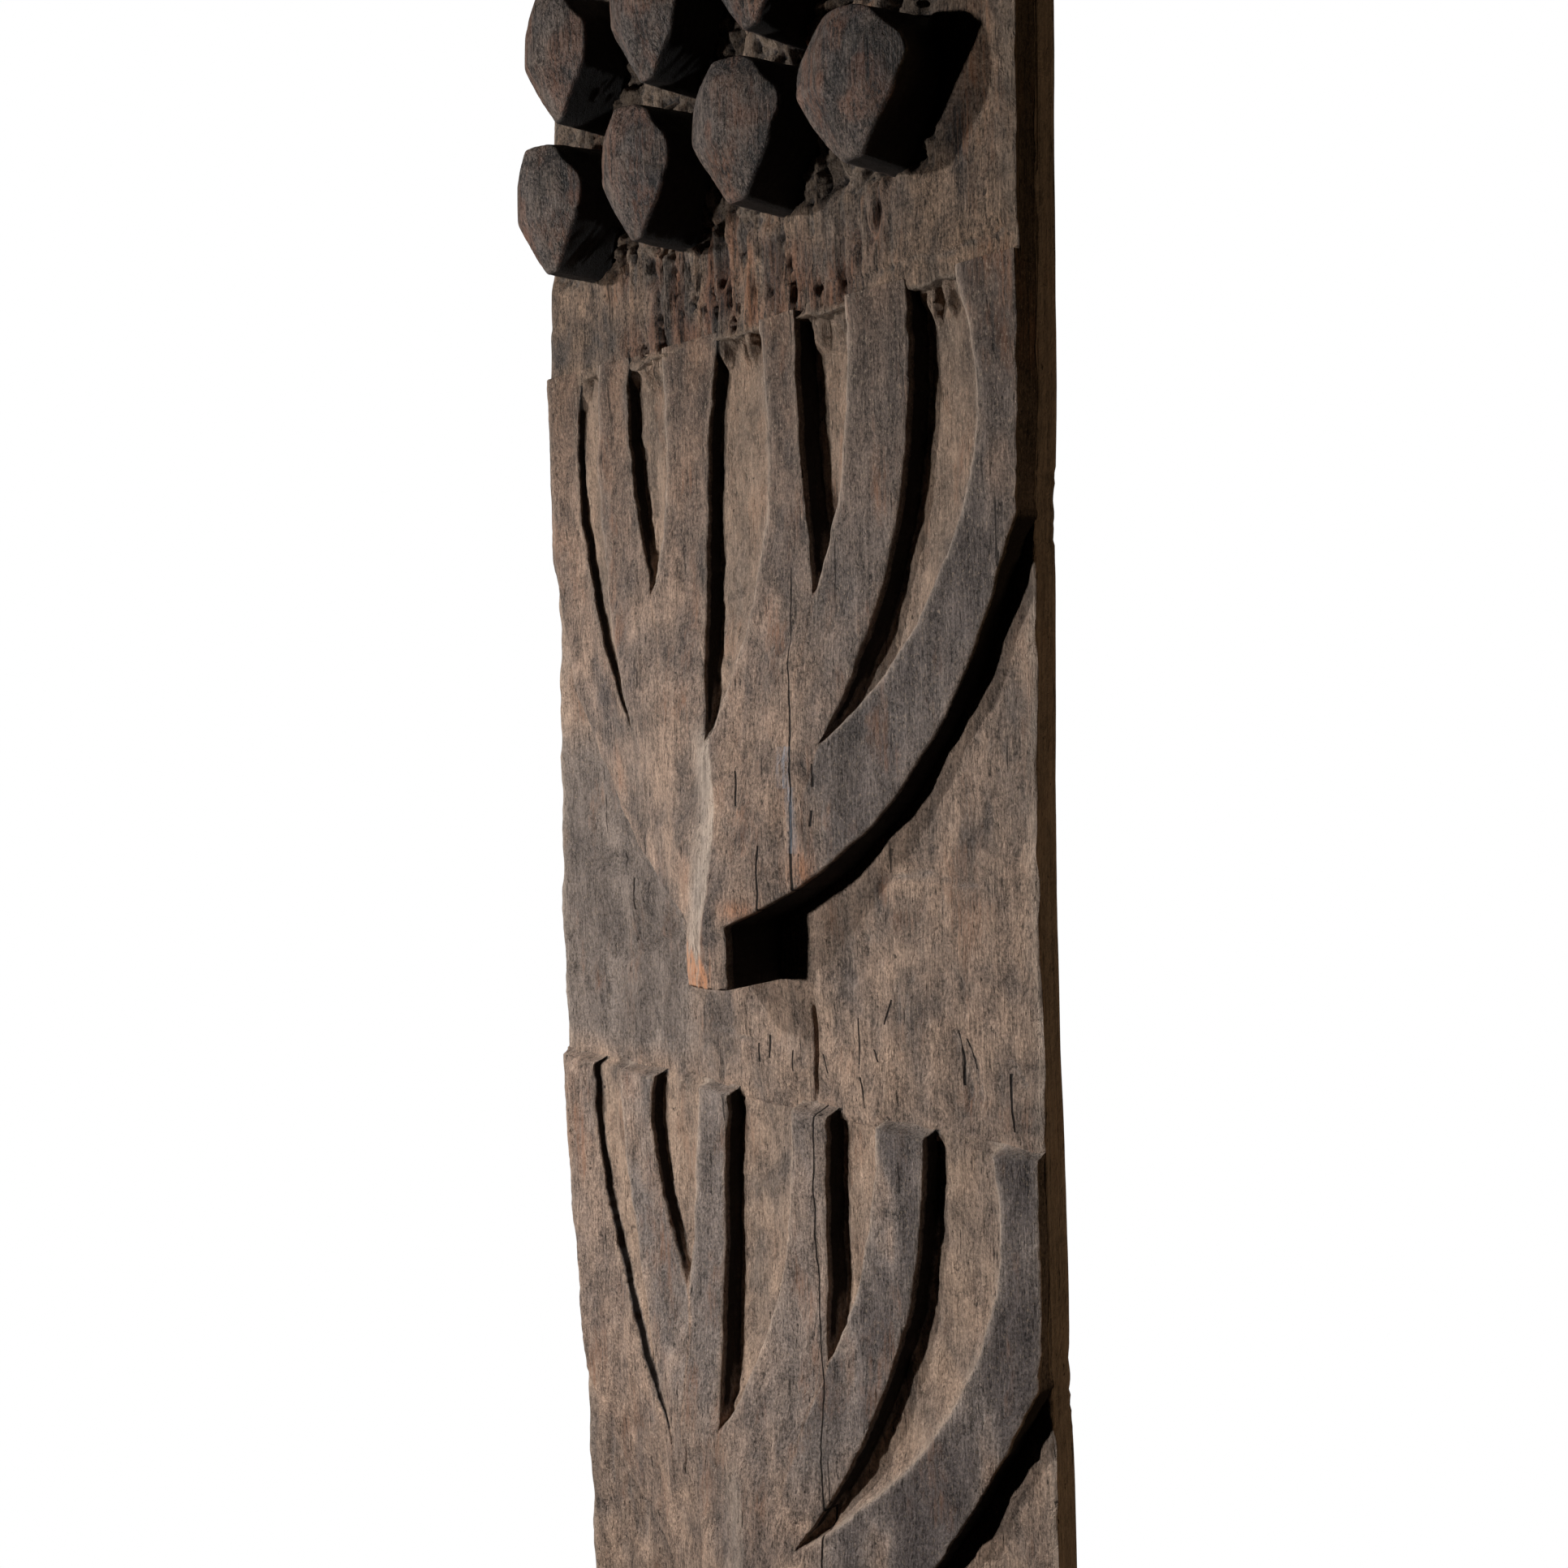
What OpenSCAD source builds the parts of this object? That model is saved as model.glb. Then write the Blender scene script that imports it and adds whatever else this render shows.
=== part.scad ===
// Carved wooden relief panel: one tall hardwood plank carved with rows of
// faceted pods above two fans of six raised fingers, each fan ending in a beak.
// The panel stands on +Z, its back face lies on Y = 0 and its carving faces -Y.
// The origin is the centre of the back face. All sizes are in millimetres.

/* [Plank] */
// Width of the plank at its foot
plank_width = 500; // [400:5:620]
// Overall height of the plank
plank_height = 1540; // [1500:10:1900]
// Thickness of the plank behind the carved ground
ground_depth = 24; // [16:1:40]
// Height of the uncarved field above the carved ground
field_rise = 20; // [14:1:26]
// Height of the lower edge of the field above the plank's middle
field_foot = 360; // [350:2:380]

/* [Pods] */
// Width of one pod
pod_width = 70; // [56:1:84]
// Height of one pod
pod_height = 100; // [84:1:104]
// How far the ridge of a pod stands out of the field
pod_rise = 60; // [46:1:72]
// Distance between neighbouring pods in a row
pod_pitch_x = 104; // [88:1:112]
// Distance between the two rows of pods
pod_pitch_z = 107; // [106:1:122]
// Height of the lower row's middle above the field's lower edge
pod_row_lift = 120; // [100:1:140]

/* [Fans] */
// Height of the upper fan, from its finger ends to its beak's end
fan_height = 466; // [440:1:480]
// Distance between the tops of the two fans
fan_pitch = 554; // [540:1:570]
// Height of the upper fan's fingers above the ground
finger_rise = 20; // [14:1:26]
// Height of the lower fan's fingers above the ground
low_finger_rise = 13; // [10:1:18]
// Height of the upper fan's groove floors above the ground
floor_rise = 5; // [3:1:8]
// Height of the lower fan's groove floors above the ground
low_floor_rise = 2; // [1:0.5:5]
// Height of the beaks above the ground
beak_rise = 62; // [48:1:80]
// Width of the beaks
beak_width = 42; // [34:1:52]
// Length of the free end of the beaks
beak_length = 46; // [36:1:56]

/* [Hidden] */
// Scale of the fans' widths against the plank they were drawn for
wide = plank_width / 500;
// Scale of the fans' heights against the height they were drawn for
tall = fan_height / 466;
// Scale of the keel's height against the beak it was drawn for
keel = beak_rise / 62;
upper_top = field_foot;
lower_top = field_foot - fan_pitch;
beak_x = -5 * wide;
wood_pale = [0.42, 0.34, 0.27];
wood_mid = [0.36, 0.29, 0.23];
wood_dark = [0.24, 0.20, 0.18];

// Each groove: the x of its two top corners, the x and depth of its pointed
// end, and the two x values that its left and right edges bend towards.
upper_grooves = [
    [-169, -144, -110, 280, -202, -168],
    [-108, -71, -86, 180, -119, -65],
    [-9, 36, -14, 292, -40, 56],
    [72, 119, 84, 190, 70, 122],
    [171, 211, 92, 292, 183, 268]
];
lower_grooves = [
    [-199, -166, -92, 296, -210, -165],
    [-122, -69, -84, 166, -133, -77],
    [-35, 33, -37, 262, -52, 40],
    [69, 115, 68, 182, 62, 112],
    [157, 213, 48, 320, 160, 250]
];

// Fan outlines: x, and depth below the fan's top. The left ones run down from
// the top corner to the beak, the right ones back up from the beak.
upper_left = [[-210, 0], [-214, 140], [-208, 180], [-195, 240], [-164, 298],
    [-138, 338], [-110, 370], [-80, 396], [-24, 420]];
upper_right = [[14, 420], [38, 410], [74, 390], [102, 370], [134, 344],
    [156, 320], [176, 296], [194, 272], [212, 242], [224, 220], [236, 192],
    [254, 148], [259, 0]];
lower_left = [[-242, 0], [-236, 140], [-231, 214], [-224, 268], [-204, 304],
    [-172, 336], [-138, 366], [-98, 392], [-60, 408], [-24, 420]];
lower_right = [[14, 420], [44, 404], [84, 378], [122, 346], [156, 306],
    [186, 260], [208, 224], [228, 190], [248, 150], [248, 0]];

// The plank's two long edges, not quite straight: x, and the share of the
// plank's height above its foot.
plank_left = [[-200, 1], [-212, 0.86], [-226, 0.75], [-236, 0.64], [-244, 0.55],
    [-252, 0.46], [-256, 0.37], [-252, 0.28], [-250, 0]];
plank_right = [[250, 0], [248, 0.48], [251, 0.55], [255, 0.63], [260, 0.71],
    [264, 0.82], [268, 1]];
// The field's own long edges, drawn down past its foot, where it is cut off.
field_left = [[-176, 1], [-188, 0.85], [-231, 0.6]];
field_right = [[259, 0.6], [264, 0.82], [268, 1]];

function bend(a, b, c, t) = (1 - t) * (1 - t) * a + 2 * t * (1 - t) * b + t * t * c;

// One edge of a groove, from its top corner to its pointed end.
function groove_edge(top_x, bend_x, end_x, depth, steps) = [
    for (i = [0 : steps])
        let (t = i / steps)
        [wide * bend(top_x, bend_x, end_x, t), -tall * bend(0, 0.5 * depth, depth, t)]
];

// Turns points drawn as x and depth into this fan's own size.
function sized(points) = [for (p = points) [wide * p[0], -tall * p[1]]];

// Turns points drawn as x and share of height into the plank's own size.
function along_plank(points) = [
    for (p = points) [wide * p[0], plank_height * (p[1] - 0.5)]
];

// Puts a flat outline drawn in X and Z onto the plank, standing out towards -Y.
module stand_out(from, to) {
    translate([0, -from, 0])
        rotate([90, 0, 0])
            linear_extrude(to - from)
                children();
}

module groove_shape(g, above) {
    left = groove_edge(g[0], g[4], g[2] - 2, g[3], 10);
    right = groove_edge(g[1], g[5], g[2] + 2, g[3], 10);
    far = len(right) - 1;
    start = [[wide * g[0], above], [wide * g[1], above]];
    polygon(concat(start, right, [for (i = [far : -1 : 0]) left[i]]));
}

// The rise of a fan towards its beak, as seen from the side and from above.
module keel_shape(rise) {
    half = plank_width * 0.56;
    side_top = ground_depth + beak_rise;
    low = ground_depth + rise;
    intersection() {
        translate([-half, 0, 0])
            rotate([90, 0, 90])
                linear_extrude(2 * half)
                    polygon([
                        [-ground_depth, 0],
                        [-low, 0],
                        [-low, -tall * 130],
                        [-ground_depth - keel * 25, -tall * 190],
                        [-ground_depth - keel * 40, -tall * 285],
                        [-ground_depth - keel * 52, -tall * 360],
                        [-side_top, -tall * 420],
                        [-side_top, -fan_height],
                        [-ground_depth, -fan_height]
                    ]);
        translate([0, 0, -fan_height])
            linear_extrude(fan_height)
                polygon([
                    [-half, -ground_depth],
                    [-half, -low],
                    [beak_x - wide * 150, -low],
                    [beak_x - wide * 80, -ground_depth - keel * 34],
                    [beak_x - beak_width / 2, -side_top],
                    [beak_x + beak_width / 2, -side_top],
                    [beak_x + wide * 90, -ground_depth - keel * 34],
                    [beak_x + wide * 160, -low],
                    [half, -low],
                    [half, -ground_depth]
                ]);
    }
}

module fan(left, right, grooves, rise, floor_level) {
    intersection() {
        stand_out(ground_depth, ground_depth + beak_rise)
            polygon(concat(sized(left), sized(right)));
        difference() {
            keel_shape(rise);
            for (g = grooves) {
                stand_out(ground_depth + floor_level, ground_depth + beak_rise + 10)
                    groove_shape(g, 10);
            }
        }
    }
}

// The free end of a fan's ridge: a squared block hanging below the fan.
module beak() {
    half = beak_width / 2;
    top_z = -tall * 420;
    end_z = top_z - beak_length;
    translate([beak_x - half, 0, 0])
        rotate([90, 0, 90])
            linear_extrude(beak_width)
                polygon([
                    [-ground_depth, top_z],
                    [-ground_depth - beak_rise, top_z],
                    [-ground_depth - beak_rise, end_z + 4],
                    [-ground_depth - beak_rise + 4, end_z],
                    [-ground_depth, end_z]
                ]);
}

// One pod: a pointed oval with deep sides and a faceted, ridged front.
module pod(x, z, ridge) {
    w = pod_width / 2;
    h = pod_height / 2;
    base = ground_depth + field_rise;
    translate([x, -base, z])
        intersection() {
            stand_out(0, pod_rise + 5)
                polygon([
                    [-0.2 * w, -h], [0.2 * w, -h], [0.66 * w, -0.44 * h],
                    [0.96 * w, 0], [w, 0.36 * h], [0.8 * w, 0.8 * h],
                    [0.42 * w, h], [-0.42 * w, h], [-0.8 * w, 0.8 * h],
                    [-w, 0.36 * h], [-0.96 * w, 0], [-0.66 * w, -0.44 * h]
                ]);
            translate([0, 0, -h])
                linear_extrude(2 * h)
                    polygon([
                        [-w, 0], [-w, -0.74 * pod_rise],
                        [(ridge - 0.42) * w, -0.94 * pod_rise],
                        [ridge * w, -pod_rise],
                        [w, -0.76 * pod_rise], [w, 0]
                    ]);
            translate([-w, 0, 0])
                rotate([90, 0, 90])
                    linear_extrude(2 * w)
                        polygon([
                            [0, -h], [-0.56 * pod_rise, -h],
                            [-0.84 * pod_rise, -0.5 * h],
                            [-pod_rise, 0.1 * h],
                            [-0.96 * pod_rise, 0.6 * h],
                            [-0.76 * pod_rise, h], [0, h]
                        ]);
        }
}

// Where a pod of a row stands, counted from 1 at the left.
function pod_x(column, shift) = wide * shift + pod_pitch_x * (column - 2.5);
function row_z(row) = field_foot + pod_row_lift + pod_pitch_z * row;

module plank() {
    color(wood_mid)
        stand_out(0, ground_depth)
            polygon(along_plank(concat(plank_left, plank_right)));
}

module field() {
    top = plank_height / 2;
    color(wood_mid)
        intersection() {
            stand_out(ground_depth, ground_depth + field_rise)
                polygon(along_plank(concat(field_left, field_right)));
            translate([-plank_width, -ground_depth - field_rise, field_foot])
                cube([2 * plank_width, field_rise, top - field_foot]);
        }
}

module fan_upper() {
    color(wood_pale)
        translate([0, 0, upper_top])
            fan(upper_left, upper_right, upper_grooves, finger_rise, floor_rise);
}

module beak_upper() {
    color(wood_pale)
        translate([0, 0, upper_top])
            beak();
}

module fan_lower() {
    color(wood_pale)
        translate([0, 0, lower_top])
            fan(lower_left, lower_right, lower_grooves, low_finger_rise, low_floor_rise);
}

module beak_lower() {
    color(wood_pale)
        translate([0, 0, lower_top])
            beak();
}

// The lower row of pods stands a little right of the middle.
module pod_low(column) {
    color(wood_dark)
        pod(pod_x(column, 12), row_z(0), 0.1);
}

// The upper row is shifted further to the right.
module pod_high(column) {
    color(wood_dark)
        pod(pod_x(column, 30), row_z(1), 0);
}

module pod_low_1() pod_low(1);
module pod_low_2() pod_low(2);
module pod_low_3() pod_low(3);
module pod_low_4() pod_low(4);
module pod_high_1() pod_high(1);
module pod_high_2() pod_high(2);
module pod_high_3() pod_high(3);
module pod_high_4() pod_high(4);

plank();
field();
fan_upper();
beak_upper();
fan_lower();
beak_lower();
pod_low_1();
pod_low_2();
pod_low_3();
pod_low_4();
pod_high_1();
pod_high_2();
pod_high_3();
pod_high_4();
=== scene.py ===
"""Looks of the carved relief panel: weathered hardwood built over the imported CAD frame.

Sizes in the shaping functions are millimetres in the CAD frame: x to the right, z up from
the middle of the back face, and h the height above the carved ground, which lies on
y = -GROUND. Meshes are written in metres.
"""

import math
from collections import namedtuple
from types import SimpleNamespace

import bpy
import numpy as np
from mathutils import Matrix


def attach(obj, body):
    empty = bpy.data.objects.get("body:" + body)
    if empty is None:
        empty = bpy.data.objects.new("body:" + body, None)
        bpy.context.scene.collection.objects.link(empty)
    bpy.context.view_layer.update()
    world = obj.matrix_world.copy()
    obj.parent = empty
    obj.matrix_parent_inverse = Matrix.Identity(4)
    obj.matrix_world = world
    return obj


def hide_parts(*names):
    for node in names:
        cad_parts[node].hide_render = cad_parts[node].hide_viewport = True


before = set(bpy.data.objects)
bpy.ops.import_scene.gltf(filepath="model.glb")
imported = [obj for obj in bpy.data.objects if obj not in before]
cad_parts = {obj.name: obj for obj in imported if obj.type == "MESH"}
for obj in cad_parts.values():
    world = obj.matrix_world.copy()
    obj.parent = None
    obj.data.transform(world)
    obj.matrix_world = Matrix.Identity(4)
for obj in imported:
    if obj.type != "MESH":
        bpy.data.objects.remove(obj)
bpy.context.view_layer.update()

# ---------------- sizes, mm
GROUND = 24.0
FIELD_RISE = 20.0
HALF_HEIGHT = 770.0
PLANK_WIDTH = 500.0
FIELD_FOOT = 360.0
FAN_LENGTH = 420.0  # from a fan's top down to its beak
FAN_END = 466.0  # from a fan's top to the end of its beak
FAN_STEP = 1.7  # from one row of a fan's mesh to the next
UNDERCUT = 7.0  # how much lower the plank's ground lies where a fan covers it
CRACK_X = 47.0  # the open crack in the ground below the upper beak
HOLE_X, HOLE_Z = 82.0, 541.0  # the small square hole in the field
POD_RISE = 60.0
POD_PITCH = 104.0
POD_ROWS = (("low", 12, 480.0), ("high", 30, 587.0))  # name, middle x and middle z
# How wide a pod is, as a share of the CAD's pod: the two low ones on the right are stouter.
POD_WIDTHS = {"pod_low_1": 1.03, "pod_low_2": 0.99, "pod_low_3": 1.13, "pod_low_4": 1.24}
SKIN = 0.6  # how far the carved skin stays inside the CAD box

# The plank's and the field's edges: z and x.
EDGE_LEFT = (
    (-770, -250), (-339, -252), (-200, -256), (-62, -252), (77, -244),
    (216, -236), (385, -226), (554, -212), (770, -200),
)
EDGE_RIGHT = (
    (-770, 250), (-31, 248), (77, 251), (200, 255), (323, 260), (493, 264), (770, 268),
)
FIELD_LEFT = ((350, -211), (539, -188), (770, -176))

# Each groove: x of its top corners, x and depth of its pointed end, and the x values that its
# left and right edges bend towards. Depths are below the fan's top.
Groove = namedtuple("Groove", "left right end length bend_left bend_right")
# left, right: the fan's outlines, as depth and x. rises: height of the uncut fingers above the
# ground, by depth. shares: where each groove's line runs on below its end, across the fan's
# width. dark: how dark each finger is. cuts: depth of each groove. low_floor: the lowest a
# groove goes. scooped: how far a groove's right side slopes. strip: how pale the keel's left
# facet is. The low fan's fingers slope down to the ground at their open ends, the high fan's
# run on under the field.
UPPER_FAN = SimpleNamespace(
    name="upper", top=360.0, start=-7.0, open_ends=False, rises=((0, 19.5),),
    left=(
        (0, -210), (140, -214), (180, -208), (240, -195), (298, -164),
        (338, -138), (370, -110), (396, -80), (420, -27), (466, -26),
    ),
    right=(
        (0, 259), (148, 254), (192, 236), (220, 224), (242, 212), (272, 194),
        (296, 176), (320, 156), (344, 134), (370, 102), (390, 74), (410, 38), (420, 16), (466, 15),
    ),
    grooves=(
        Groove(-169, -144, -110, 280, -202, -168),
        Groove(-108, -71, -86, 180, -119, -65),
        Groove(-9, 36, -14, 292, -40, 56),
        Groove(72, 119, 84, 190, 70, 122),
        Groove(171, 211, 92, 292, 183, 268),
    ),
    shares=(0.20, 0.31, 0.48, 0.66, 0.77), dark=(0.1, 0.15, 0.2, 0.2, 0.45, 0.8),
    cuts=(9, 11, 14, 18.5, 17.5), low_floor=1.2, scooped=0.5, strip=1.0, seed=100,
)
LOWER_FAN = SimpleNamespace(
    name="lower", top=-194.0, start=0.0, open_ends=True,
    rises=((0, 14.5), (120, 15.5), (300, 19.5), (470, 19.5)),
    left=(
        (0, -242), (140, -236), (214, -231), (268, -224), (304, -204),
        (336, -172), (366, -138), (392, -98), (408, -60), (420, -27), (466, -26),
    ),
    right=(
        (0, 248), (150, 248), (190, 228), (224, 208), (260, 186), (306, 156),
        (346, 122), (378, 84), (404, 44), (420, 16), (466, 15),
    ),
    grooves=(
        Groove(-199, -166, -92, 296, -210, -165),
        Groove(-122, -69, -84, 166, -133, -77),
        Groove(-35, 33, -37, 262, -52, 40),
        Groove(69, 115, 68, 182, 62, 112),
        Groove(157, 213, 48, 320, 160, 250),
    ),
    shares=(0.25, 0.36, 0.47, 0.64, 0.72), dark=(0.15, 0.62, 0.6, 0.4, 0.95, 0.95),
    cuts=(9, 11.5, 17.5, 16.5, 16), low_floor=-1.6, scooped=0.4, strip=0.55, seed=300,
)


# ---------------- noise
def hashed(i, j, seed):
    """A repeatable number from 0 to 1 for each lattice point."""
    n = (i * 374761393 + j * 668265263 + seed * 974634777) & 0xFFFFFFFF
    n = ((n ^ (n >> 13)) * 1274126177) & 0xFFFFFFFF
    return ((n ^ (n >> 16)) & 0xFFFFFF) / float(0xFFFFFF)


def noise(x, z, size_x, size_z, seed):
    """Smooth value noise from -1 to 1 with features of the given size."""
    u, v = np.broadcast_arrays(np.asarray(x, float) / size_x, np.asarray(z, float) / size_z)
    iu, iv = np.floor(u).astype(np.int64), np.floor(v).astype(np.int64)
    fu, fv = u - iu, v - iv
    fu, fv = fu * fu * (3 - 2 * fu), fv * fv * (3 - 2 * fv)
    low = hashed(iu, iv, seed) * (1 - fu) + hashed(iu + 1, iv, seed) * fu
    high = hashed(iu, iv + 1, seed) * (1 - fu) + hashed(iu + 1, iv + 1, seed) * fu
    return 2 * (low * (1 - fv) + high * fv) - 1


def layered(x, z, size_x, size_z, seed, octaves=3):
    """Noise with finer and weaker noise on top."""
    total, weight = 0.0, 1.0
    for k in range(octaves):
        total = total + weight * noise(x, z, size_x / 2**k, size_z / 2**k, seed + 17 * k)
        weight *= 0.5
    return total


def scoops(x, z, size_x, size_z, seed):
    """Tool facets: 0 in the middle of each scoop, rising to about 0.5 at the ridges between."""
    u, v = np.broadcast_arrays(np.asarray(x, float) / size_x, np.asarray(z, float) / size_z)
    iu, iv = np.floor(u).astype(np.int64), np.floor(v).astype(np.int64)
    best = np.full(u.shape, 9.0)
    for di in (-1, 0, 1):
        for dj in (-1, 0, 1):
            cu, cv = iu + di, iv + dj
            pu = cu + 0.15 + 0.7 * hashed(cu, cv, seed)
            pv = cv + 0.15 + 0.7 * hashed(cu, cv, seed + 5)
            best = np.minimum(best, (u - pu) ** 2 + (v - pv) ** 2)
    return best


def splits(x, z, width, length, seed, share):
    """Short splits along the grain: 1 in the middle of a split, 0 on whole wood."""
    line = np.clip(1 - np.abs(noise(x, z, width, length, seed)) / 0.2, 0, 1)
    place = noise(x, z, width * 3.3, length * 0.6, seed + 7)
    return line * ease((place - 1 + 2 * share) / 0.25)


def ease(t):
    """A smooth step from 0 to 1, flat at both ends."""
    t = np.clip(t, 0, 1)
    return t * t * (3 - 2 * t)


def along(points, at):
    """Reads a table of (position, value) pairs."""
    return np.interp(at, [p[0] for p in points], [p[1] for p in points])


def softest(a, b, soft):
    """The smaller of two heights, with a rounded crease between them."""
    mix = np.clip(0.5 + 0.5 * (b - a) / soft, 0, 1)
    return b * (1 - mix) + a * mix - soft * mix * (1 - mix)


def cavity(h, reach, deep):
    """1 where a grid of heights lies the given depth below its surroundings, 0 on open parts."""
    smooth = h
    for axis in (0, 1):
        smooth = sum(np.roll(smooth, k, axis) for k in range(-reach, reach + 1)) / (2 * reach + 1)
    return np.clip((smooth - h) / deep, 0, 1)


# ---------------- the plank's edges
def left_edge(z):
    rough = 0.5 + 0.5 * layered(z, 3.0, 60, 40, 11, 4)
    return along(EDGE_LEFT, z) + SKIN + 1.6 * rough


def right_edge(z):
    rough = 0.5 + 0.5 * layered(z, 9.0, 70, 40, 23, 4)
    chip = 3.5 * np.exp(-(((z - 214) / 26) ** 2)) * (0.6 + 0.4 * noise(z, 0, 5, 9, 31))
    low_chip = 3.0 * np.exp(-(((z + 352) / 22) ** 2)) * (0.6 + 0.4 * noise(z, 0, 5, 9, 32))
    return along(EDGE_RIGHT, z) - 0.3 - 0.8 * rough - chip - low_chip


# ---------------- mesh writing
def grid_quads(rows, cols, wrap=False):
    """Faces of a grid of points; wrapped, its last column meets its first."""
    index = np.arange(rows * cols).reshape(rows, cols)
    if wrap:
        index = np.hstack([index, index[:, :1]])
    a, b = index[:-1, :-1].ravel(), index[:-1, 1:].ravel()
    c, d = index[1:, 1:].ravel(), index[1:, :-1].ravel()
    return np.stack([a, b, c, d], axis=1)


def add_object(name, data):
    made = bpy.data.objects.new(name, data)
    bpy.context.scene.collection.objects.link(made)
    return made


def write_mesh(name, points, quads, material, nodes, marks):
    """Makes one piece from points in mm and puts it in place of its CAD nodes."""
    points = np.asarray(points, float).reshape(-1, 3) / 1000.0
    mesh = bpy.data.meshes.new(name)
    mesh.vertices.add(len(points))
    mesh.vertices.foreach_set("co", points.astype(np.float32).ravel())
    mesh.loops.add(quads.size)
    mesh.loops.foreach_set("vertex_index", quads.astype(np.int32).ravel())
    mesh.polygons.add(len(quads))
    mesh.polygons.foreach_set("loop_start", np.arange(0, quads.size, 4, dtype=np.int32))
    mesh.polygons.foreach_set("use_smooth", np.ones(len(quads), dtype=bool))
    mesh.update(calc_edges=True)
    colours = np.zeros((len(points), 4))
    for k, mark in enumerate(marks):
        colours[:, k] = np.clip(np.broadcast_to(np.ravel(mark), points.shape[:1]), 0, 1)
    layer = mesh.color_attributes.new("marks", "FLOAT_COLOR", "POINT")
    layer.data.foreach_set("color", colours.astype(np.float32).ravel())
    mesh.validate()
    mesh.materials.append(material)
    piece = add_object(name, mesh)
    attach(piece, "root")
    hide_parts(*nodes)


def front(x, h, z):
    """Points of a surface seen from the front, from x, height above the ground and z."""
    return np.stack([x, -(GROUND + h), z], axis=-1)


# ---------------- plank
# Slips of the blade in the ground: x and z of both ends, and the depth.
TOOL_CUTS = (
    (-213, -33, -173, -27, 2.2), (-173, -27, -134, -21, 1.6), (-210, -107, -161, -106, 1.8),
    (-161, -106, -100, -83, 2.4), (115, -26, 157, -20, 1.8), (157, -20, 198, -27, 1.8),
    (178, -126, 190, -166, 2.6), (186, -130, 199, -168, 2.2), (-235, -64, -236, -102, 2.2),
    (222, -138, 233, -152, 3.0), (128, -96, 131, -142, 1.8), (-60, -150, -20, -158, 1.4),
)


def tool_cuts(x, z):
    """Depth of the short slanting cuts in the ground."""
    total = np.zeros_like(x)
    for x0, z0, x1, z1, deep in TOOL_CUTS:
        length = (x1 - x0) ** 2 + (z1 - z0) ** 2
        t = np.clip(((x - x0) * (x1 - x0) + (z - z0) * (z1 - z0)) / length, 0, 1)
        away = np.hypot(x - x0 - t * (x1 - x0), z - z0 - t * (z1 - z0))
        away = away + 0.8 * noise(x, z, 6, 6, 49)
        total = np.maximum(total, 1.15 * deep * np.exp(-((away / 2.6) ** 2)))
    return total


def ground_height(x, z):
    """The adzed ground: broad scoops, a slow swell and one open crack below the upper beak."""
    swell = 0.9 * layered(x, z, 150, 260, 41, 2)
    adze = 6.0 * (scoops(x + 0.15 * z, z, 42, 62, 43) - 0.24)
    adze = adze + 1.0 * layered(x, z, 17, 24, 45, 3) + 0.5 * noise(x, z, 6, 34, 46)
    adze = adze - 2.4 * splits(x, z, 11, 55, 48, 0.26) - tool_cuts(x, z)
    crack_span = ease((z + 232) / 12) * ease((-118 - z) / 10)
    wander = 1.2 * noise(z, 0, 18, 9, 47) + 0.03 * (z + 150)
    crack = 9 * np.exp(-(((x - CRACK_X - wander) / 1.6) ** 2)) * crack_span
    wide = ease((z + 195) / 25)
    return swell + adze - crack * (0.25 + 0.75 * wide)


def under_fans(x, z):
    """1 where a fan covers the ground, so that the ground can be lowered there."""
    total = np.zeros_like(x)
    for fan in (UPPER_FAN, LOWER_FAN):
        depth = fan.top - z
        across = ease((x - along(fan.left, depth) - 5) / 6)
        across = across * ease((along(fan.right, depth) - 5 - x) / 6)
        total = total + across * ease((depth - 7) / 6) * ease((FAN_END - 8 - depth) / 6)
    return total


def plank_front(z, left, right):
    """x, height and marks of the carved face, from the left edge to the right one."""
    near_edge = np.array([0.0, 0.6, 1.5, 3.0, 5.0])
    body = np.linspace(8, PLANK_WIDTH - 8, 172)
    crack_col = CRACK_X + PLANK_WIDTH / 2
    crack_cols = np.linspace(crack_col - 7, crack_col + 7, 14)
    cols = np.concatenate([near_edge, body, crack_cols, PLANK_WIDTH - near_edge])
    x = left + (right - left) * (np.unique(cols) / PLANK_WIDTH)
    zz = np.broadcast_to(z, x.shape)
    h = ground_height(x, zz)
    # painted shade: the ground's hollows are greyed and darkened through kind below
    hollow = cavity(h, 2, 1.6)
    gap = np.minimum(x - left, right - x)
    # the right edge is sharp where the field or a fan's last finger lies on it
    covered = ease((zz - 205) / 20) + ease((zz + 350) / 14) * ease((-190 - zz) / 14)
    worn = np.where(x > 0, 1 - np.clip(covered, 0, 1), 1.0)
    nick = 1 + 0.8 * noise(zz, x, 14, 40, 51)
    h = h - worn * nick * 1.9 * np.exp(-gap / 1.5) - UNDERCUT * under_fans(x, zz)
    # darker ground to the left of the upper beak
    dim = ease((-60 - x) / 50) * ease((zz + 200) / 40) * ease((100 - zz) / 60)
    dim = dim * (1 + 0.3 * noise(x, zz, 16, 40, 81))
    kind = np.maximum(0.35 * hollow, 0.52 * dim)
    return x, h, (np.full_like(x, 0.35), np.exp(-gap / 4), kind)


def plank_back(z, left, right):
    """x, y and marks of the hewn back, from the right edge to the left one."""
    x = left + (right - left) * np.linspace(1, 0, 66)
    zz = np.broadcast_to(z, x.shape)
    gap = np.minimum(x - left, right - x)
    y = -SKIN - 2.2 * scoops(x, zz, 70, 150, 57)
    y = y - 0.5 * (1 + noise(x, zz, 12, 200, 59)) - 1.0 * np.exp(-gap / 3)
    return x, y, (np.zeros_like(x), np.exp(-gap / 4), np.full_like(x, 0.35))


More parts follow.
